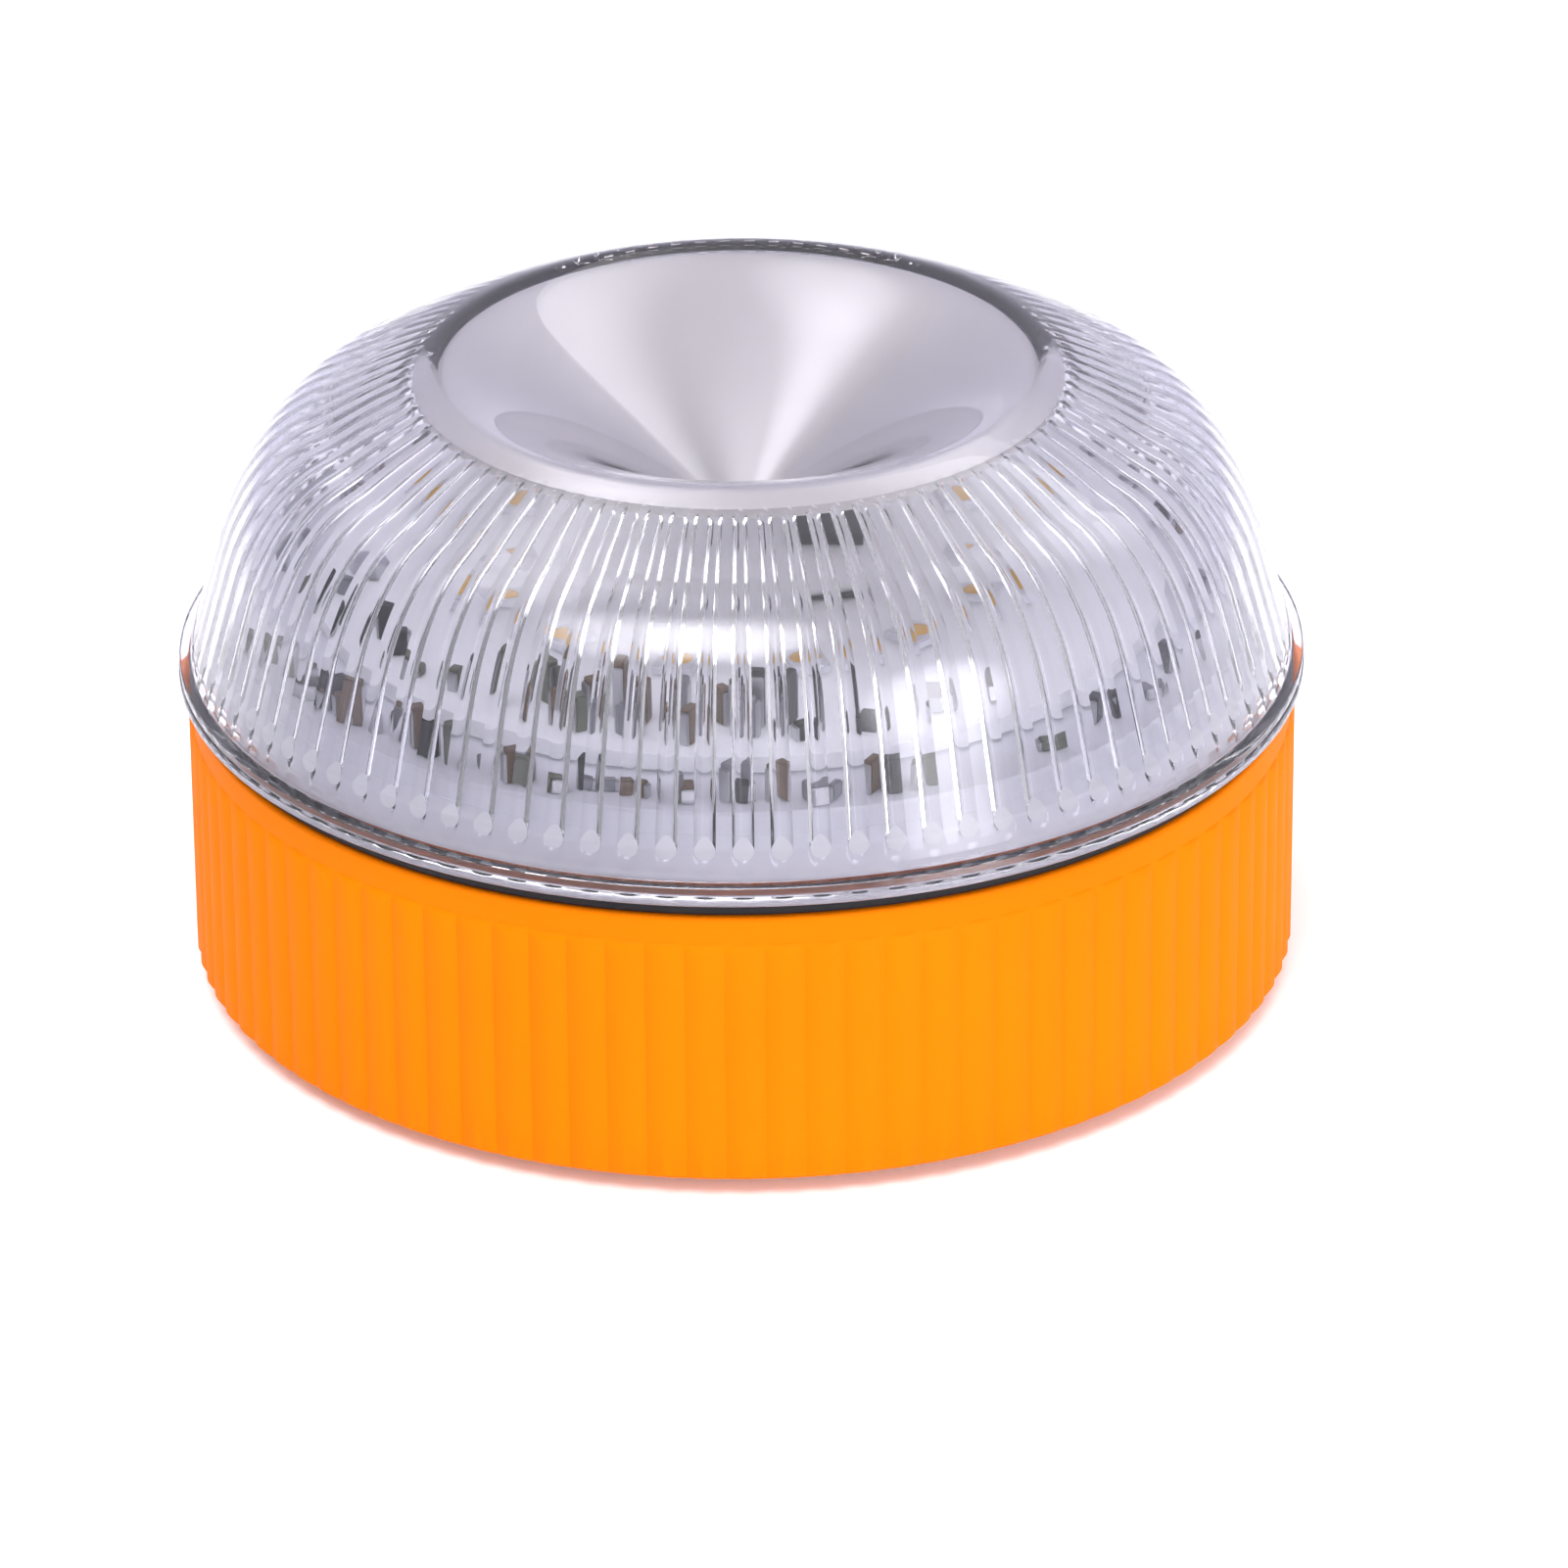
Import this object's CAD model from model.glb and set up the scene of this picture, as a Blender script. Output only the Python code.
"""Looks of the LED safety flare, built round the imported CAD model. Metres, +Z up."""

import math

import bmesh
import bpy
import numpy as np
from mathutils import Matrix, Vector


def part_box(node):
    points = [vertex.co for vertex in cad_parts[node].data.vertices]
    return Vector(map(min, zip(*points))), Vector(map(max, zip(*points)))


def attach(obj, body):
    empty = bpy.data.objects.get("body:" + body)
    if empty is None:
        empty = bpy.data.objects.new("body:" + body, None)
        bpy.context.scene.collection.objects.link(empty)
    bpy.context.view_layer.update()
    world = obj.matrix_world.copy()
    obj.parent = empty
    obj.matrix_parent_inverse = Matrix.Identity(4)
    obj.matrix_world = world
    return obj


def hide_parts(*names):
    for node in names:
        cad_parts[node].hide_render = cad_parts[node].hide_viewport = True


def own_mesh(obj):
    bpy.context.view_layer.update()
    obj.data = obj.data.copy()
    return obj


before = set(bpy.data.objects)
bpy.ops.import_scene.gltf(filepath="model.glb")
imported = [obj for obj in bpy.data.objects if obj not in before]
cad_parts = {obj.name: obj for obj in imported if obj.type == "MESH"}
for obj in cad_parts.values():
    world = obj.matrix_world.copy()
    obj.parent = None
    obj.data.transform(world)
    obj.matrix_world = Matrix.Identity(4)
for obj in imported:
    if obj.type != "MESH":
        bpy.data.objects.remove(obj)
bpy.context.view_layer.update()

MM = 0.001
RIBS = 90                       # ribs inside the lens, and flutes round the base
LEDS = 12
POINTS_PER_RIB = 14
RIB_SHARE = 0.56                # how much of its pitch a lens rib takes
SMOOTH_ROUND = 240              # sides of a plain turned piece
GAP = 0.3 * MM


# ---------------------------------------------------------------- sizes from the frame

LENS_LOW, LENS_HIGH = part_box("lens_dome")
BASE_LOW, BASE_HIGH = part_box("base_shell")
PAD_LOW, PAD_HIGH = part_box("foot_pad")
SEAL_LOW, SEAL_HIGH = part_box("seal_ring")
DECK_LOW, DECK_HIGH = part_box("lens_deck")
BOARD_LOW, BOARD_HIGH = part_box("led_board")
BUTTON_LOW, BUTTON_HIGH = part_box("power_button")

FLANGE_R = LENS_HIGH.x
LENS_BOTTOM = LENS_LOW.z
LENS_TOP = LENS_HIGH.z
PAD_R = PAD_HIGH.x
PAD_TOP = PAD_HIGH.z
BASE_BOTTOM = BASE_LOW.z
FLUTE_R = BASE_HIGH.x
COLLAR_TOP = BASE_HIGH.z
BASE_TOP = SEAL_LOW.z - GAP
BUTTON_CENTRE = (BUTTON_LOW + BUTTON_HIGH) / 2.0
BUTTON_R = BUTTON_HIGH.x

DISH_R = 21.4 * MM
DISH_DEPTH = 12.6 * MM
DISH_CURVE = 1.3                # 1 would be a straight cone
DISH_WALL = 0.6 * MM
MIRROR_GAP = 0.18 * MM
MIRROR_WALL = 0.8 * MM
RIB_TOP_R = 23.1 * MM
RIB_HEIGHT = 0.42 * MM
RIB_FOOT_RISE, RIB_TOP_RISE = 1.1 * MM, 0.5 * MM
LENS_WALL = 1.8 * MM
CROWN_WALL = 0.95 * MM          # the lens thins towards the dish
FLUTE_DEPTH = 0.28 * MM
FLUTE_ENDS = (0.5 * MM, 0.6 * MM)   # how far a flute takes to fade, at its foot and its top
FLOOR_TOP = 5.0 * MM
RECESS_TOP = PAD_TOP + GAP
THREAD_LEAD = 6.0 * MM
THREAD_STARTS = 4
THREAD_LOW = 23.6 * MM          # underside of a thread rib over a lug's middle


# ---------------------------------------------------------------- mesh helpers

def link(name, mesh, material, body, replaced=()):
    """A finished piece: its object, its material and what it rides on and stands for."""
    piece = bpy.data.objects.new(name, mesh)
    bpy.context.collection.objects.link(piece)
    if material is not None:
        mesh.materials.append(material)
    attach(piece, body)
    if replaced:
        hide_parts(*replaced)
    return piece


def smooth(mesh, degrees=32.0):
    """Smooth shading with sharp edges kept."""
    mesh.shade_smooth()
    mesh.set_sharp_from_angle(angle=math.radians(degrees))


def bend(start, corner, end, steps):
    """Points after the start of a smooth bend between two runs that meet at the corner."""
    share = np.linspace(0.0, 1.0, steps + 1)[1:, None]
    knots = [np.array(knot) for knot in (start, corner, end)]
    curve = knots[0] * (1.0 - share) ** 2 + 2.0 * knots[1] * share * (1.0 - share) + knots[2] * share ** 2
    return [tuple(point) for point in curve]


def run(start, end, steps):
    """Points after the start of a straight run."""
    share = np.linspace(0.0, 1.0, steps + 1)[1:, None]
    return [tuple(point) for point in np.array(start) * (1.0 - share) + np.array(end) * share]


def rounded(points, radius, steps=4):
    """The same outline with each inner corner replaced by a small bend of about that radius."""
    result = [points[0]]
    for before, corner, after in zip(points, points[1:], points[2:]):
        before, corner, after = (np.array(point) for point in (before, corner, after))
        to_before, to_after = before - corner, after - corner
        reach = min(radius, 0.45 * np.linalg.norm(to_before), 0.45 * np.linalg.norm(to_after))
        first = corner + to_before / np.linalg.norm(to_before) * reach
        last = corner + to_after / np.linalg.norm(to_after) * reach
        result.append(tuple(first))
        result += bend(first, corner, last, steps)
    result.append(points[-1])
    return result


def turned(name, profile, around, closed=False, relief=None, wave=None):
    """A turned mesh. relief holds, for each point, how far along (x, z) the wave moves it."""
    profile = np.array(profile, dtype=float)
    angles = np.arange(around) * math.tau / around
    radius = np.repeat(profile[:, :1], around, axis=1)
    height = np.repeat(profile[:, 1:], around, axis=1)
    if relief is not None:
        relief = np.array(relief, dtype=float)
        shape = wave(angles)
        radius = radius + relief[:, :1] * shape
        height = height + relief[:, 1:] * shape
    points = np.stack((radius * np.cos(angles), radius * np.sin(angles), height), axis=2)
    bm = bmesh.new()
    rings = []
    for index, ring in enumerate(points):
        if profile[index, 0] == 0.0:
            rings.append([bm.verts.new((0.0, 0.0, profile[index, 1]))])
        else:
            rings.append([bm.verts.new(point) for point in ring])
    pairs = list(zip(rings, rings[1:]))
    if closed:
        pairs.append((rings[-1], rings[0]))
    for first, second in pairs:
        count = max(len(first), len(second))
        for index in range(count):
            after = (index + 1) % count
            corners = [first[index % len(first)]]
            if len(first) > 1:
                corners.append(first[after])
            if len(second) > 1:
                corners.append(second[after])
            corners.append(second[index % len(second)])
            bm.faces.new(corners)
    bmesh.ops.recalc_face_normals(bm, faces=bm.faces)
    mesh = bpy.data.meshes.new(name)
    bm.to_mesh(mesh)
    bm.free()
    smooth(mesh)
    return mesh


def flute_wave(angles):
    """0 in the sharp valley between two flutes, 1 on a flute's rounded crest."""
    across = np.mod(angles * RIBS / math.tau, 1.0) * 2.0 - 1.0
    return 1.0 - across ** 2


def rib_wave(angles):
    """1 on a narrow rib's rounded crest, 0 on the flat between two ribs."""
    across = np.mod(angles * RIBS / math.tau, 1.0) * 2.0 - 1.0
    return np.clip(1.0 - (across / RIB_SHARE) ** 2, 0.0, 1.0)


def round_cutter(radius, low, high, centre, sides=48):
    """A closed upright cylinder to cut with: its points and faces."""
    angles = np.arange(sides) * math.tau / sides
    x, y = centre[0] + radius * np.cos(angles), centre[1] + radius * np.sin(angles)
    points = [(a, b, z) for z in (low, high) for a, b in zip(x, y)]
    faces = [tuple(range(sides))[::-1], tuple(range(sides, 2 * sides))]
    for index in range(sides):
        after = (index + 1) % sides
        faces.append((index, after, after + sides, index + sides))
    return points, faces


def cut(piece, cutters):
    """Cuts holes that don't meet each other out of a piece and keeps the result."""
    points, faces = [], []
    for more_points, more_faces in cutters:
        faces += [tuple(index + len(points) for index in face) for face in more_faces]
        points += more_points
    mesh = bpy.data.meshes.new("cutter")
    mesh.from_pydata(points, [], faces)
    tool = bpy.data.objects.new("cutter", mesh)
    bpy.context.collection.objects.link(tool)
    modifier = piece.modifiers.new("cut", "BOOLEAN")
    modifier.operation = "DIFFERENCE"
    modifier.object = tool
    graph = bpy.context.evaluated_depsgraph_get()
    result = bpy.data.meshes.new_from_object(piece.evaluated_get(graph))
    piece.modifiers.clear()
    piece.data = result
    bpy.data.objects.remove(tool, do_unlink=True)
    smooth(piece.data)


def helical_ribs(name, spread, radii, low, height):
    """Four ribs round the axis that climb with the thread's lead; low is the middle's underside."""
    bm = bmesh.new()
    steps = max(4, round((spread[1] - spread[0]) / 2.0))
    for start in range(THREAD_STARTS):
        sections = []
        for turned_by in np.linspace(spread[0], spread[1], steps + 1):
            angle = math.radians(360.0 / THREAD_STARTS * start + turned_by)
            z = low + THREAD_LEAD * turned_by / 360.0
            section = []
            corners = ((radii[0], 0.0), (radii[1], 0.15 * height), (radii[1], 0.85 * height), (radii[0], height))
            for radius, up in corners:
                section.append(bm.verts.new((radius * math.cos(angle), radius * math.sin(angle), z + up)))
            sections.append(section)
        for first, second in zip(sections, sections[1:]):
            for index in range(len(corners)):
                after = (index + 1) % len(corners)
                bm.faces.new((first[index], first[after], second[after], second[index]))
        bm.faces.new(sections[0])
        bm.faces.new(sections[-1][::-1])
    bmesh.ops.recalc_face_normals(bm, faces=bm.faces)
    mesh = bpy.data.meshes.new(name)
    bm.to_mesh(mesh)
    bm.free()
    smooth(mesh)
    return mesh


# ---------------------------------------------------------------- materials

def add(tree, kind, **values):
    """A node with some of its sockets set."""
    node = tree.nodes.new(kind)
    for key, value in values.items():
        node.inputs[key.replace("_", " ")].default_value = value
    return node


def plain_shader(name):
    """A material with only its shader, and the object coordinates to build on."""
    material = bpy.data.materials.new(name)
    material.use_nodes = True
    tree = material.node_tree
    return material, tree, tree.nodes["Principled BSDF"], tree.nodes.new("ShaderNodeTexCoord")


def ramp(tree, source, stops):
    """A colour ramp with the given (place, colour) stops."""
    node = tree.nodes.new("ShaderNodeValToRGB")
    elements = node.color_ramp.elements
    while len(elements) < len(stops):
        elements.new(0.5)
    for element, (place, colour) in zip(elements, stops):
        element.position = place
        element.color = (*colour, 1.0)
    tree.links.new(source, node.inputs["Fac"])
    return node.outputs["Color"]


def vary(tree, source, low, high):
    """A 0 to 1 value stretched between two numbers."""
    node = add(tree, "ShaderNodeMapRange", To_Min=low, To_Max=high)
    tree.links.new(source, node.inputs["Value"])
    return node.outputs["Result"]


def noise(tree, coords, scale, detail=3.0, stretch=None):
    """Noise over the object's own coordinates, optionally stretched along an axis."""
    node = add(tree, "ShaderNodeTexNoise", Scale=scale, Detail=detail)
    source = coords.outputs["Object"]
    if stretch is not None:
        mapping = add(tree, "ShaderNodeMapping", Scale=stretch)
        tree.links.new(source, mapping.inputs["Vector"])
        source = mapping.outputs["Vector"]
    tree.links.new(source, node.inputs["Vector"])
    return node.outputs["Fac"]


def moulded(name, colour, rough, metallic=0.0, grain=1400.0, grain_depth=0.00001, tint=0.06, **sockets):
    """Moulded plastic, rubber or plated metal: colour drift, uneven gloss and a fine grain."""
    material, tree, shader, coords = plain_shader(name)
    drift = noise(tree, coords, 55.0)
    darker = tuple(max(channel * (1.0 - tint), 0.0) for channel in colour)
    lighter = tuple(min(channel * (1.0 + tint), 1.0) for channel in colour)
    tree.links.new(ramp(tree, drift, [(0.3, darker), (0.7, lighter)]), shader.inputs["Base Color"])
    gloss = noise(tree, coords, 240.0, 4.0)
    tree.links.new(vary(tree, gloss, rough[0], rough[1]), shader.inputs["Roughness"])
    bump = add(tree, "ShaderNodeBump", Strength=0.5, Distance=grain_depth)
    tree.links.new(noise(tree, coords, grain, 2.0), bump.inputs["Height"])
    tree.links.new(bump.outputs["Normal"], shader.inputs["Normal"])
    shader.inputs["Metallic"].default_value = metallic
    for key, value in sockets.items():
        shader.inputs[key.replace("_", " ")].default_value = value
    return material


def clear_plastic():
    """Clear moulded polycarbonate with a faint lavender cast and slightly uneven gloss."""
    material, tree, shader, coords = plain_shader("clear_plastic")
    cloud = noise(tree, coords, 45.0)
    tint = ramp(tree, cloud, [(0.25, (0.85, 0.845, 0.895)), (0.75, (0.88, 0.875, 0.92))])
    tree.links.new(tint, shader.inputs["Base Color"])
    gloss = noise(tree, coords, 160.0)
    tree.links.new(vary(tree, gloss, 0.015, 0.05), shader.inputs["Roughness"])
    bump = add(tree, "ShaderNodeBump", Strength=0.25, Distance=0.00002)
    tree.links.new(noise(tree, coords, 220.0, 2.0), bump.inputs["Height"])
    tree.links.new(bump.outputs["Normal"], shader.inputs["Normal"])
    shader.inputs["Transmission Weight"].default_value = 0.98
    shader.inputs["IOR"].default_value = 1.5
    return material


def floor_paper():
    """White paper that turns to a pale lavender grey away from the object."""
    material, tree, shader, coords = plain_shader("floor")
    distance = tree.nodes.new("ShaderNodeVectorMath")
    distance.operation = "LENGTH"
    tree.links.new(coords.outputs["Object"], distance.inputs[0])
    near, far = 0.2, 0.4
    white, grey = (0.97, 0.97, 0.97), (0.56, 0.55, 0.63)
    glow, dark = (0.14, 0.14, 0.14), (0.0, 0.0, 0.0)
    paper = ramp(tree, distance.outputs["Value"], [(near, white), (far, grey)])
    tree.links.new(paper, shader.inputs["Base Color"])
    lit = ramp(tree, distance.outputs["Value"], [(near, glow), (far, dark)])
    tree.links.new(lit, shader.inputs["Emission Color"])
    shader.inputs["Emission Strength"].default_value = 1.0
    tree.links.new(vary(tree, noise(tree, coords, 90.0), 0.5, 0.65), shader.inputs["Roughness"])
    return material


def make_materials():
    """Every material by name."""
    return {
        "orange": moulded("orange_plastic", (0.90, 0.205, 0.001), (0.45, 0.6), grain=1800.0, tint=0.035,
                          Specular_IOR_Level=0.03),
        "clear": clear_plastic(),
        "silver": moulded("silvered_plastic", (0.86, 0.83, 0.80), (0.5, 0.58), 1.0, tint=0.02,
                          grain=600.0, grain_depth=0.000003),
        "rubber": moulded("black_rubber", (0.012, 0.012, 0.014), (0.6, 0.8), grain=900.0,
                          grain_depth=0.00004, tint=0.2, Specular_IOR_Level=0.3),
        "black": moulded("black_plastic", (0.02, 0.02, 0.025), (0.35, 0.55), tint=0.2),
        "brown": moulded("brown_ceramic", (0.16, 0.10, 0.06), (0.3, 0.5), tint=0.2),
        "olive": moulded("olive_coating", (0.14, 0.15, 0.11), (0.3, 0.5), tint=0.2),
        "grey": moulded("grey_ceramic", (0.24, 0.24, 0.27), (0.3, 0.5), tint=0.2),
        "white": moulded("white_plastic", (0.80, 0.80, 0.85), (0.3, 0.45), tint=0.03),
        "board": moulded("circuit_board", (0.02, 0.16, 0.06), (0.25, 0.4), grain=700.0, tint=0.25),
        "led_board": moulded("led_board_white", (0.88, 0.88, 0.92), (0.25, 0.4), tint=0.05,
                             Emission_Color=(1.0, 1.0, 1.0, 1.0), Emission_Strength=0.1),
        "steel": moulded("steel", (0.56, 0.56, 0.58), (0.22, 0.4), 1.0, grain=1200.0, tint=0.08),
        "nickel": moulded("nickel", (0.66, 0.63, 0.56), (0.18, 0.35), 1.0, tint=0.06),
        "brass": moulded("brass_contact", (0.86, 0.62, 0.26), (0.2, 0.38), 1.0, tint=0.1),
        "cell": moulded("cell_wrap", (0.03, 0.07, 0.2), (0.2, 0.35), 0.3, tint=0.15),
        "phosphor": moulded("led_window", (0.85, 0.50, 0.10), (0.15, 0.3), tint=0.1),
        "floor": floor_paper(),
    }


# ---------------------------------------------------------------- pieces

def horn(drop, end=0.985, steps=48):
    """Points of the dish's horn shape from the axis to near its lip, lowered by that much."""
    share = np.linspace(0.0, end, steps + 1)
    heights = LENS_TOP - DISH_DEPTH * (1.0 - share) ** DISH_CURVE - drop
    return [(radius, z) for radius, z in zip(share * DISH_R, heights)]


def lens_outer_wall(steps):
    """Sloped wall, shoulder and crown of the lens, from above the flange to the dish's lip."""
    wall_foot = (FLANGE_R - 0.9 * MM, LENS_BOTTOM + 1.8 * MM)
    wall_top = (FLANGE_R - 3.3 * MM, LENS_BOTTOM + 10.3 * MM)
    shoulder_corner = (FLANGE_R - 5.4 * MM, LENS_BOTTOM + 17.15 * MM)
    shoulder_end = (FLANGE_R - 10.2 * MM, LENS_BOTTOM + 19.2 * MM)
    crown_corner = (FLANGE_R - 14.6 * MM, LENS_BOTTOM + 21.6 * MM)
    crown_end = (DISH_R + 1.0 * MM, LENS_TOP - 0.15 * MM)
    points = [wall_foot]
    points += run(wall_foot, wall_top, steps)
    points += bend(wall_top, shoulder_corner, shoulder_end, steps)
    points += bend(shoulder_end, crown_corner, crown_end, steps)
    return points


def outward(points):
    """Unit normals of an outline that climbs from the flange to the dish."""
    points = np.array(points)
    along = np.gradient(points, axis=0)
    along /= np.linalg.norm(along, axis=1)[:, None]
    return np.stack((along[:, 1], -along[:, 0]), axis=1)


def make_lens(material):
    """Clear dome: a dish in its top, a ledge and two beads on its flange, and ribs inside."""
    rib_foot_z = LENS_BOTTOM + 1.7 * MM
    inner_r = FLANGE_R - 2.7 * MM
    ledge_z = LENS_BOTTOM + 1.4 * MM
    outer = lens_outer_wall(22)
    inside = []
    for point, normal in zip(outer, outward(outer)):
        wall = np.interp(point[0], (RIB_TOP_R, 29.0 * MM), (CROWN_WALL, LENS_WALL))
        place = np.array(point) - normal * wall
        if place[1] < rib_foot_z or place[0] < RIB_TOP_R:
            continue
        foot_rise = (place[1] - rib_foot_z) / RIB_FOOT_RISE
        top_rise = (place[0] - RIB_TOP_R) / RIB_TOP_RISE
        inside.append((tuple(place), tuple(-normal * RIB_HEIGHT * min(foot_rise, top_rise, 1.0))))
    profile = horn(DISH_WALL, 0.97)
    profile += bend(profile[-1], (DISH_R, LENS_TOP - DISH_WALL), inside[-1][0], 10)[:-1]
    relief = [(0.0, 0.0)] * len(profile)
    for place, height in reversed(inside):
        profile.append(place)
        relief.append(height)
    flange = rounded([
        (inner_r, rib_foot_z - 0.15 * MM),
        (inner_r, LENS_BOTTOM),
        (FLANGE_R, LENS_BOTTOM),
        (FLANGE_R, LENS_BOTTOM + 0.55 * MM),
        (FLANGE_R - 0.3 * MM, LENS_BOTTOM + 0.66 * MM),
        (FLANGE_R - 0.08 * MM, LENS_BOTTOM + 0.8 * MM),
        (FLANGE_R - 0.08 * MM, ledge_z),
        (FLANGE_R - 0.92 * MM, ledge_z),
        (FLANGE_R - 0.9 * MM, LENS_BOTTOM + 1.8 * MM),
    ], 0.16 * MM, 3)
    profile += list(flange)[:-1] + outer
    lip = (DISH_R + 0.15 * MM, LENS_TOP)
    dish = horn(0.0)
    profile += bend(outer[-1], (DISH_R + 0.5 * MM, LENS_TOP), lip, 4)
    profile += bend(lip, (DISH_R - 0.15 * MM, LENS_TOP), dish[-1], 4)
    profile += reversed(dish[:-1])
    relief += [(0.0, 0.0)] * (len(profile) - len(relief))
    mesh = turned("lens", profile, RIBS * POINTS_PER_RIB, False, relief, rib_wave)
    return link("lens", mesh, material, "lens", ("lens_dome",))


def make_mirror(material):
    """Thin horn-shaped mirror close under the dish, with a rim that slopes down round it."""
    upper = horn(DISH_WALL + MIRROR_GAP, 0.975)
    peak = (DISH_R - 0.25 * MM, upper[-1][1] + 0.05 * MM)
    start = (DISH_R + 0.05 * MM, peak[1] - 0.14 * MM)
    upper += bend(upper[-1], peak, start, 6)
    upper += run(start, (RIB_TOP_R - 0.35 * MM, LENS_TOP - 1.5 * MM), 6)
    lower = [(radius, z - MIRROR_WALL) for radius, z in reversed(upper)]
    edge = bend(upper[-1], (upper[-1][0] + 0.05 * MM, upper[-1][1] - MIRROR_WALL / 2.0), lower[0], 6)
    mesh = turned("mirror", upper + edge[:-1] + lower, SMOOTH_ROUND)
    return link("mirror", mesh, material, "lens", ("reflector_funnel",))


def make_base(material):
    """Fluted orange base with its collar, floor, magnet pockets and the button's hole."""
    foot_fade, top_fade = FLUTE_ENDS
    top_r = FLUTE_R - 0.35 * MM
    valley_r = FLUTE_R - 0.05 * MM - FLUTE_DEPTH
    flute_top = BASE_TOP - 2.0 * MM
    collar_r, collar_inner = 34.9 * MM, 33.9 * MM
    bay_r = 37.0 * MM
    outside = [
        ((0.0, RECESS_TOP), 0.0),
        ((PAD_R + GAP, RECESS_TOP), 0.0),
        ((PAD_R + GAP, BASE_BOTTOM), 0.0),
        ((valley_r - foot_fade, BASE_BOTTOM), 0.0),
    ]
    foot_end = (valley_r, BASE_BOTTOM + foot_fade)
    top_start = (valley_r, flute_top - top_fade)
    for point in bend((valley_r - foot_fade, BASE_BOTTOM), (valley_r, BASE_BOTTOM), foot_end, 5):
        outside.append((point, (point[1] - BASE_BOTTOM) / foot_fade))
    for point in run(foot_end, top_start, 6):
        outside.append((point, 1.0))
    for point in run(top_start, (top_r - 0.02 * MM, flute_top), 5):
        share = (flute_top - point[1]) / top_fade
        outside.append((point, math.sqrt(max(share, 0.0))))
    edge = rounded([
        (top_r, flute_top + 0.1 * MM),
        (top_r, BASE_TOP),
        (collar_r, BASE_TOP),
        (collar_r, COLLAR_TOP),
        (collar_inner, COLLAR_TOP),
        (collar_inner, BASE_TOP - 1.2 * MM),
        (bay_r, BASE_TOP - 4.0 * MM),
        (bay_r, FLOOR_TOP),
        (0.0, FLOOR_TOP),
    ], 0.3 * MM)
    profile = [point for point, _ in outside] + edge
    relief = [(share * FLUTE_DEPTH, 0.0) for _, share in outside] + [(0.0, 0.0)] * len(edge)
    mesh = turned("base", profile, RIBS * POINTS_PER_RIB, False, relief, flute_wave)
    base = link("base", mesh, material, "base", ("base_shell",))
    button_hole_r = 4.7 * MM
    holes = [round_cutter(button_hole_r, 0.0, FLOOR_TOP + MM, BUTTON_CENTRE)]
    for number in (1, 2, 3):
        low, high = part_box(f"magnet_{number}")
        radius = (high.x - low.x) / 2.0 + GAP
        holes.append(round_cutter(radius, BASE_BOTTOM, high.z + GAP, (low + high) / 2.0))
    for name in ("tray_screw_1", "tray_screw_2"):
        low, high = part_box(name)
        holes.append(round_cutter(MM, low.z - GAP, FLOOR_TOP + MM, (low + high) / 2.0, 16))
    cut(base, holes)

    thread = helical_ribs("thread", (-6.0, 66.0), (collar_r - 0.1 * MM, 35.9 * MM), THREAD_LOW, 0.9 * MM)
    link("thread", thread, material, "base")
    for side in (1, 2):
        low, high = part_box(f"switch_screw_{side}")
        middle = (low + high) / 2.0
        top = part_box("switch_body")[1].z
        hole_r, post_r = MM, 1.7 * MM
        profile = rounded([
            (hole_r, low.z - GAP),
            (hole_r, top),
            (post_r, top),
            (post_r, FLOOR_TOP),
            (hole_r, FLOOR_TOP),
        ], 0.15 * MM, 2)
        mesh = turned(f"switch_post_{side}", profile, 32, True)
        mesh.transform(Matrix.Translation((middle.x, middle.y, 0.0)))
        link(f"switch_post_{side}", mesh, material, "base")
    return base


def make_seal(material):
    """Rounded black rubber ring between base and lens."""
    low, high = SEAL_LOW.z - 0.2 * MM, SEAL_HIGH.z + 0.2 * MM
    inner, outer = SEAL_HIGH.x - 0.8 * MM, SEAL_HIGH.x
    middle = (low + high) / 2.0
    profile = [(inner, low), (outer - 0.3 * MM, low)]
    profile += bend((outer - 0.3 * MM, low), (outer, low), (outer, middle), 4)
    profile += bend((outer, middle), (outer, high), (outer - 0.3 * MM, high), 4)
    profile.append((inner, high))
    mesh = turned("seal", profile, SMOOTH_ROUND, True)
    return link("seal", mesh, material, "seal", ("seal_ring",))


def make_pad(material):
    """Rubber foot with shallow ring grooves and an opening round the button."""
    points = [(0.0, 0.0)]
    groove_pitch, groove_depth = 2.4 * MM, 0.25 * MM
    edge_round, opening_r = 0.6 * MM, 5.6 * MM
    radius = 6.0 * MM
    while radius < PAD_R - 2.0 * MM:
        points += [(radius, 0.0), (radius + 0.25 * MM, groove_depth)]
        points += [(radius + 0.75 * MM, groove_depth), (radius + MM, 0.0)]
        radius += groove_pitch
    points += [(PAD_R - edge_round, 0.0)]
    points += bend((PAD_R - edge_round, 0.0), (PAD_R, 0.0), (PAD_R, edge_round), 4)
    points += [(PAD_R, PAD_TOP), (0.0, PAD_TOP)]
    mesh = turned("foot", points, SMOOTH_ROUND)
    pad = link("foot", mesh, material, "base", ("foot_pad",))
    cut(pad, [round_cutter(opening_r, -MM, PAD_TOP + MM, BUTTON_CENTRE, 96)])
    return pad


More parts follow.
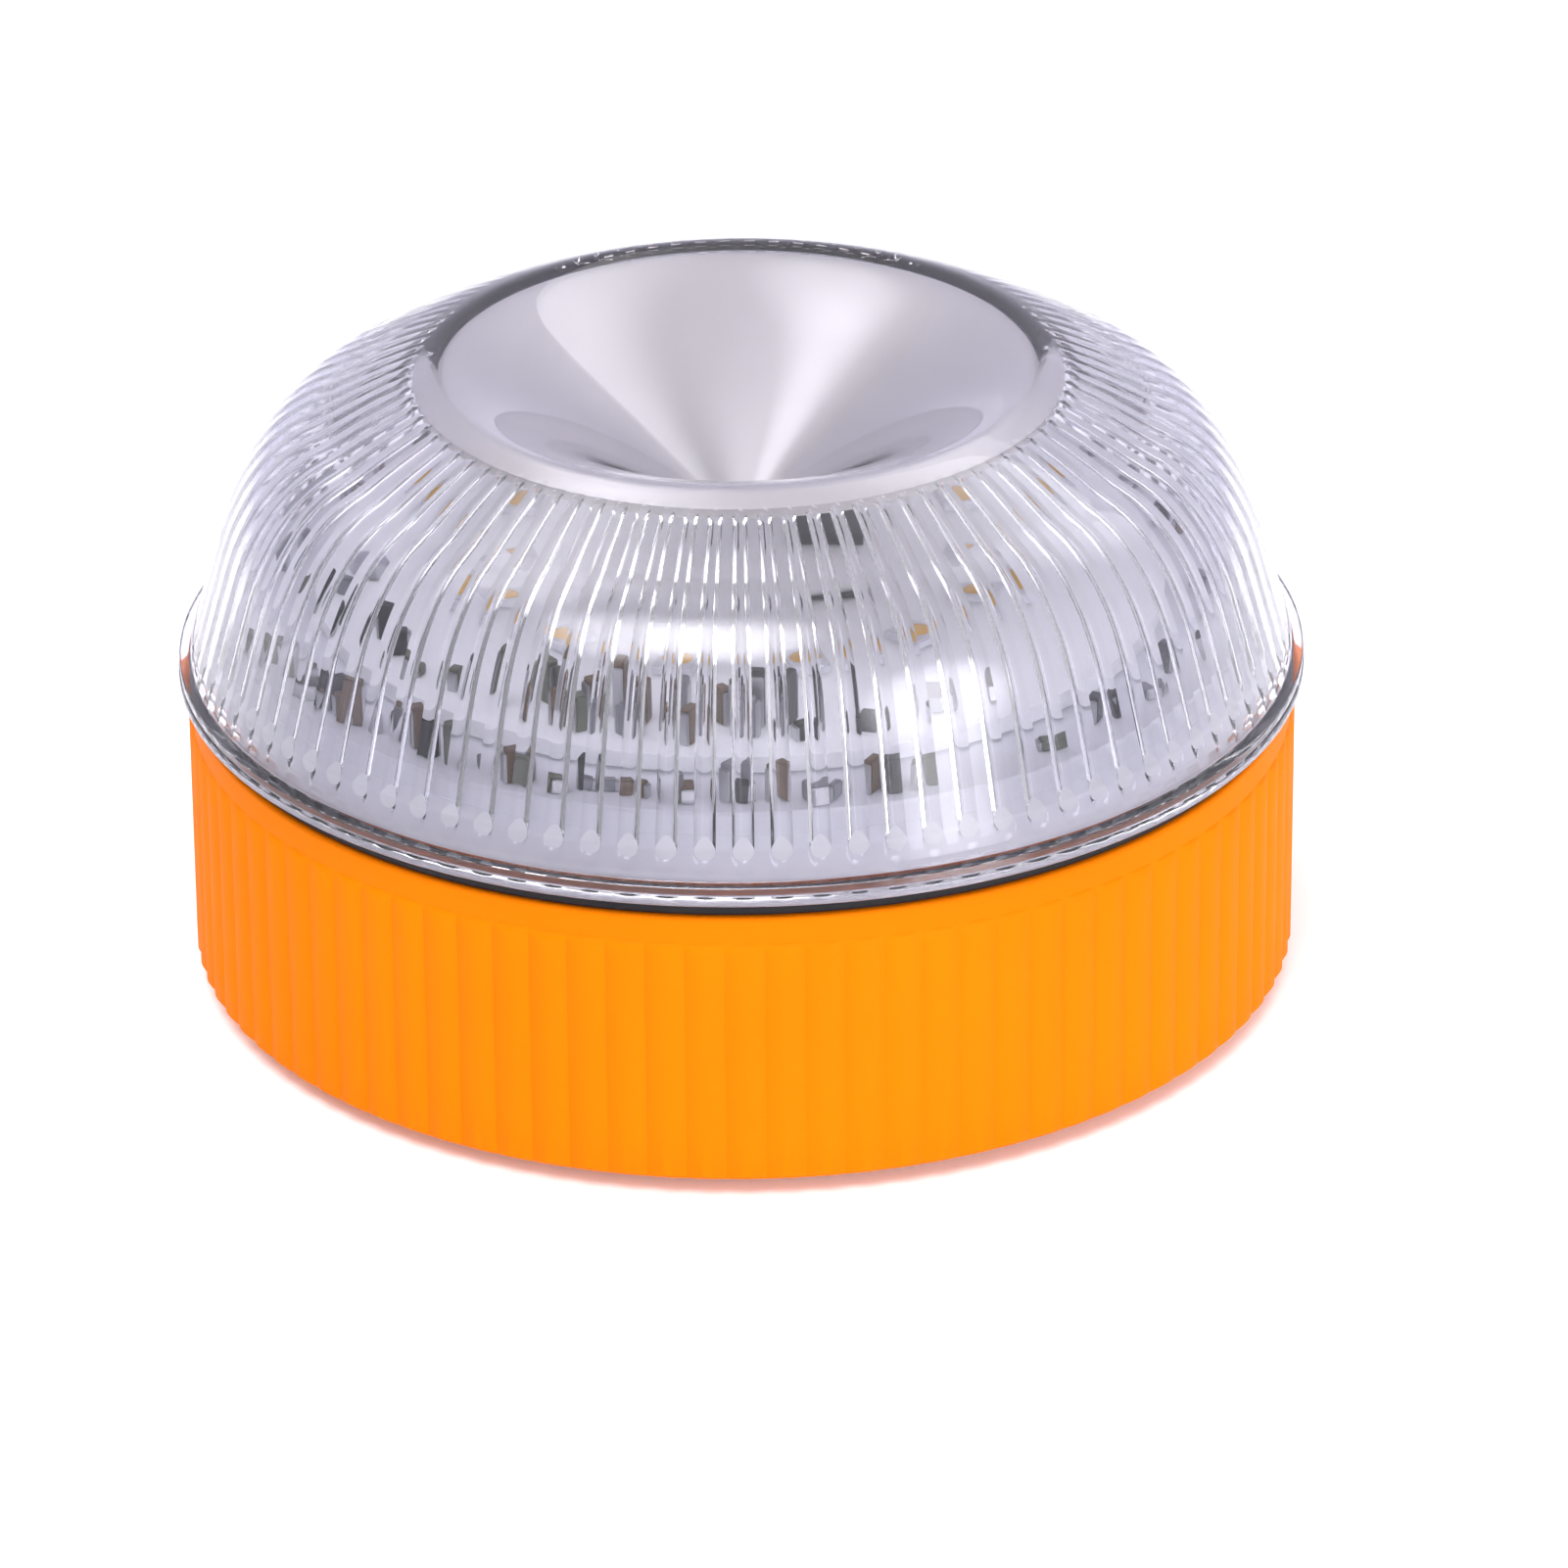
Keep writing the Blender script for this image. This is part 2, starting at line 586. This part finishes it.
def make_deck(material, board_material):
    """White deck with its skirt and lugs, and the round LED board on it."""
    skirt_r, top_r = DECK_HIGH.x, 35.3 * MM
    skirt_wall = 0.7 * MM
    plate_low = DECK_HIGH.z - 1.2 * MM
    profile = rounded([
        (0.0, plate_low),
        (skirt_r - skirt_wall, plate_low),
        (skirt_r - skirt_wall, DECK_LOW.z),
        (skirt_r, DECK_LOW.z),
        (skirt_r, plate_low - 0.9 * MM),
        (top_r, DECK_HIGH.z - 0.3 * MM),
        (top_r, DECK_HIGH.z),
        (0.0, DECK_HIGH.z),
    ], 0.2 * MM, 2)
    mesh = turned("deck", profile, SMOOTH_ROUND)
    deck = link("deck", mesh, material, "lens", ("lens_deck",))
    pins = [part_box(f"contact_pin_{number}") for number in (1, 2, 3)]
    screws = [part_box(f"board_screw_{number}") for number in (1, 2, 3)]
    span = (plate_low - MM, DECK_HIGH.z + MM)
    pin_hole_r = 1.7 * MM
    holes = [round_cutter(pin_hole_r, *span, (low + high) / 2.0) for low, high in pins]
    holes += [round_cutter(MM, *span, (low + high) / 2.0, 16) for low, high in screws]
    cut(deck, holes)
    lug_radii = (skirt_r - 0.6 * MM, 35.25 * MM)
    lugs = helical_ribs("lugs", (-5.0, 5.0), lug_radii, THREAD_LOW - 0.8 * MM, 0.5 * MM)
    link("lugs", lugs, material, "lens")
    radius = BOARD_HIGH.x
    profile = rounded([
        (0.0, BOARD_LOW.z),
        (radius, BOARD_LOW.z),
        (radius, BOARD_HIGH.z),
        (0.0, BOARD_HIGH.z),
    ], 0.08 * MM, 2)
    mesh = turned("led_disc", profile, SMOOTH_ROUND)
    disc = link("led_disc", mesh, board_material, "lens", ("led_board",))
    span = (BOARD_LOW.z - MM, BOARD_HIGH.z + MM)
    cut(disc, [round_cutter(MM, *span, (low + high) / 2.0, 16) for low, high in screws])


def block(bm, size, centre, bevel):
    """A small bevelled block in a bmesh."""
    made = bmesh.ops.create_cube(bm, size=1.0)
    bmesh.ops.scale(bm, vec=size, verts=made["verts"])
    bmesh.ops.translate(bm, vec=centre, verts=made["verts"])
    edges = list({edge for vert in made["verts"] for edge in vert.link_edges})
    bmesh.ops.bevel(bm, geom=edges, offset=bevel, segments=2, affect="EDGES")


def make_leds(body_material, window_material):
    """LED packages: a pale body and an amber window on each."""
    body_size = (3.4 * MM, 2.8 * MM, 0.7 * MM)
    window_r, window_low, window_top = 1.1 * MM, 0.72 * MM, 0.9 * MM
    for number in range(1, LEDS + 1):
        node = f"led_{number:02d}"
        low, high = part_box(node)
        centre = (low + high) / 2.0
        angle = math.atan2(centre.y, centre.x)
        place = Matrix.Translation((centre.x, centre.y, low.z)) @ Matrix.Rotation(angle, 4, "Z")
        bm = bmesh.new()
        block(bm, body_size, (0.0, 0.0, body_size[2] / 2.0), 0.12 * MM)
        mesh = bpy.data.meshes.new(f"led_body_{number:02d}")
        bm.to_mesh(mesh)
        bm.free()
        mesh.transform(place)
        smooth(mesh)
        link(f"led_body_{number:02d}", mesh, body_material, "lens", (node,))
        dome = [(0.0, window_low), (window_r, window_low)]
        dome += bend((window_r, window_low), (0.9 * MM, window_top), (0.0, window_top), 6)
        mesh = turned(f"led_window_{number:02d}", dome, 32)
        mesh.transform(place)
        link(f"led_window_{number:02d}", mesh, window_material, "lens")


def make_small_parts(case_materials, end_material):
    """Small parts in rings on the LED board and the deck, of mixed size, height and colour."""
    random = np.random.default_rng(11)
    on_board, on_deck = BOARD_HIGH.z + 0.05 * MM, DECK_HIGH.z + 0.05 * MM
    rings = (
        # radius, height they stand on, first and last angle, count, heights
        (33.8 * MM, on_deck, (196.0, 292.0), 30, (0.8 * MM, 3.4 * MM)),
        (33.0 * MM, on_deck, (300.0, 540.0), 22, (0.6 * MM, 2.2 * MM)),
        (27.6 * MM, on_board, (185.0, 290.0), 14, (0.8 * MM, 3.4 * MM)),
        (25.2 * MM, on_board, (236.0, 280.0), 11, (2.4 * MM, 5.2 * MM)),
    )
    screws, clear_of_screws = (60.0, 180.0, 300.0), 7.0
    number = 0
    for ring_r, top, spread, count, heights in rings:
        for index in range(count):
            degrees = spread[0] + (spread[1] - spread[0]) * (index + random.uniform(0.1, 0.9)) / count
            long_side, short_side = random.uniform(1.0, 2.1) * MM, random.uniform(0.5, 1.1) * MM
            height = random.uniform(*heights)
            radius = ring_r + random.uniform(-0.8, 0.4) * MM
            turned_by = random.uniform(0.0, 180.0)
            case_material = case_materials[random.integers(len(case_materials))]
            if top == on_board and min(abs(degrees - screw) for screw in screws) < clear_of_screws:
                continue
            number += 1
            angle = math.radians(degrees)
            place = Matrix.Translation((radius * math.cos(angle), radius * math.sin(angle), top))
            place = place @ Matrix.Rotation(angle + math.radians(turned_by), 4, "Z")
            case_size = (long_side * 0.72, short_side, height)
            end_size = (long_side * 0.13, short_side * 0.94, height * 0.9)
            for part, material, size, shift in (
                ("case", case_material, case_size, 0.0),
                ("end_a", end_material, end_size, -0.43),
                ("end_b", end_material, end_size, 0.43),
            ):
                bm = bmesh.new()
                block(bm, size, (shift * long_side, 0.0, size[2] / 2.0), 0.08 * MM)
                name = f"small_{part}_{number:02d}"
                mesh = bpy.data.meshes.new(name)
                bm.to_mesh(mesh)
                bm.free()
                mesh.transform(place)
                smooth(mesh)
                link(name, mesh, material, "lens")


def make_button(material):
    """Rubber power button with a raised ring on its face."""
    low, high = BUTTON_LOW.z, BUTTON_HIGH.z
    cap_r = 4.4 * MM
    flange_low, flange_high = 5.3 * MM, 6.1 * MM
    face = [
        (0.0, low + 0.35 * MM),
        (2.2 * MM, low + 0.3 * MM),
        (2.5 * MM, low),
        (3.1 * MM, low),
        (3.4 * MM, low + 0.2 * MM),
        (cap_r - 0.2 * MM, low + 0.3 * MM),
    ]
    rest = [(cap_r, low + 0.6 * MM), (cap_r, flange_low), (BUTTON_R, flange_low),
            (BUTTON_R, flange_high), (1.3 * MM, flange_high), (1.3 * MM, high), (0.0, high)]
    mesh = turned("button", rounded(face + rest, 0.25 * MM, 3), 96)
    mesh.transform(Matrix.Translation((0.0, BUTTON_CENTRE.y, 0.0)))
    return link("button", mesh, material, "button", ("power_button",))


def make_button_spring(material):
    """The button's spring, shortened from its top as the button is pressed."""
    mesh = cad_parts["button_spring"].data.copy()
    mesh.materials.clear()
    spring = link("return_spring", mesh, material, "button", ("button_spring",))
    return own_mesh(spring)


# ---------------------------------------------------------------- frame nodes that stay

KEPT = {
    "magnet": "nickel",
    "battery_tray": "black",
    "cell_spring": "steel",
    "cell": "cell",
    "contact_plate": "nickel",
    "contact_board_screw": "steel",
    "contact_board": "board",
    "contact_ring": "brass",
    "contact_pad": "brass",
    "contact_pin": "brass",
    "tray_screw": "steel",
    "switch_screw": "steel",
    "board_screw": "steel",
    "switch_board": "board",
    "switch_body": "black",
    "switch_plunger": "white",
    "driver_chip": "black",
}


def dress_kept_nodes(materials):
    """Gives every node that stays its finished material. The longest matching name wins."""
    for node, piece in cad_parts.items():
        matches = [start for start in KEPT if node.startswith(start)]
        if not matches:
            continue
        material = materials[KEPT[max(matches, key=len)]]
        if not piece.material_slots:
            piece.data.materials.append(material)
        for slot in piece.material_slots:
            slot.material = material


# ---------------------------------------------------------------- stage

def make_stage(material):
    """A pale floor that rises into a backdrop, a hair under the rubber foot."""
    front, depth, height, half_width = -1.6, 0.9, 1.6, 3.0
    sweep = 0.5
    wall = depth + sweep
    points = [(front, 0.0)]
    points += run((front, 0.0), (depth, 0.0), 4)
    points += bend((depth, 0.0), (wall, 0.0), (wall, sweep), 16)
    points += run((wall, sweep), (wall, height), 2)
    bm = bmesh.new()
    rows = [[bm.verts.new((x, y, z)) for x in (-half_width, half_width)] for y, z in points]
    for first, second in zip(rows, rows[1:]):
        bm.faces.new((first[0], first[1], second[1], second[0]))
    mesh = bpy.data.meshes.new("floor")
    bm.to_mesh(mesh)
    bm.free()
    mesh.shade_smooth()
    mesh.materials.append(material)
    floor = bpy.data.objects.new("floor", mesh)
    floor.location.z = -0.05 * MM
    bpy.context.collection.objects.link(floor)


SURROUND = 0.33                 # brightness away from every lamp
LAMPS = (
    # direction, inner and outer edge in degrees from it, brightness
    ((1.0, 0.0, 0.0), 0.0, 180.0, 0.34),
    ((-0.24, 0.37, 0.90), 1.0, 15.0, 1.8),
    ((-0.38, 0.22, 0.90), 1.0, 15.0, 1.4),
    ((-0.49, 0.07, 0.87), 1.0, 15.0, 1.6),
    ((0.47, 0.58, 0.66), 6.0, 30.0, 1.8),
    ((-0.10, 0.85, 0.50), 10.0, 60.0, 0.25),
    ((-0.32, -0.42, 0.85), 3.0, 19.0, 6.0),
    ((-0.04, -0.47, 0.88), 3.0, 18.0, 8.0),
    ((0.66, -0.70, 0.25), 4.0, 19.0, 7.0),
    ((0.10, -0.90, 0.42), 6.0, 34.0, 0.4),
)


def make_lights():
    """Soft studio light: a pale surround with round lamps in it whose edges fade out."""
    world = bpy.data.worlds.new("studio")
    world.use_nodes = True
    tree = world.node_tree
    background = tree.nodes["Background"]
    coords = tree.nodes.new("ShaderNodeTexCoord")
    total = None
    for direction, inner, outer, brightness in LAMPS:
        facing = tree.nodes.new("ShaderNodeVectorMath")
        facing.operation = "DOT_PRODUCT"
        facing.inputs[1].default_value = Vector(direction).normalized()
        tree.links.new(coords.outputs["Generated"], facing.inputs[0])
        fade = add(tree, "ShaderNodeMapRange", From_Min=math.cos(math.radians(outer)),
                   From_Max=math.cos(math.radians(inner)), To_Min=0.0, To_Max=brightness)
        fade.interpolation_type = "SMOOTHSTEP"
        tree.links.new(facing.outputs["Value"], fade.inputs["Value"])
        level = tree.nodes.new("ShaderNodeMath")
        level.operation = "ADD"
        tree.links.new(fade.outputs["Result"], level.inputs[0])
        level.inputs[1].default_value = SURROUND
        if total is not None:
            tree.links.new(total, level.inputs[1])
        total = level.outputs["Value"]
    tree.links.new(total, background.inputs["Strength"])
    background.inputs["Color"].default_value = (0.965, 0.955, 1.0, 1.0)
    bpy.context.scene.world = world


def make_camera():
    """Long lens, about 25 degrees above the horizon, with the object left of and above centre."""
    distance = 0.65
    elevation = math.radians(25.43)
    target = Vector((0.0, 0.0, 0.0222))
    data = bpy.data.cameras.new("camera")
    data.sensor_width = 36.0
    data.lens = 209.6
    data.shift_x = 0.0272
    data.shift_y = -0.0805
    data.clip_start, data.clip_end = 0.01, 20.0
    camera = bpy.data.objects.new("camera", data)
    bpy.context.collection.objects.link(camera)
    back = Vector((0.0, -math.cos(elevation), math.sin(elevation)))
    camera.location = target + back * distance
    aim = (-back).to_track_quat("-Z", "Y").to_matrix()
    camera.rotation_euler = (aim @ Matrix.Rotation(math.radians(-0.6), 3, "Z")).to_euler()
    bpy.context.scene.camera = camera
    bpy.context.scene.view_settings.view_transform = "Standard"


make_camera()
materials = make_materials()
make_lens(materials["clear"])
make_mirror(materials["silver"])
make_base(materials["orange"])
make_seal(materials["rubber"])
make_pad(materials["rubber"])
make_deck(materials["white"], materials["led_board"])
make_leds(materials["white"], materials["phosphor"])
make_small_parts([materials[name] for name in ("black", "grey", "brown", "olive")], materials["steel"])
make_button(materials["rubber"])
make_button_spring(materials["steel"])
dress_kept_nodes(materials)
make_stage(materials["floor"])
make_lights()
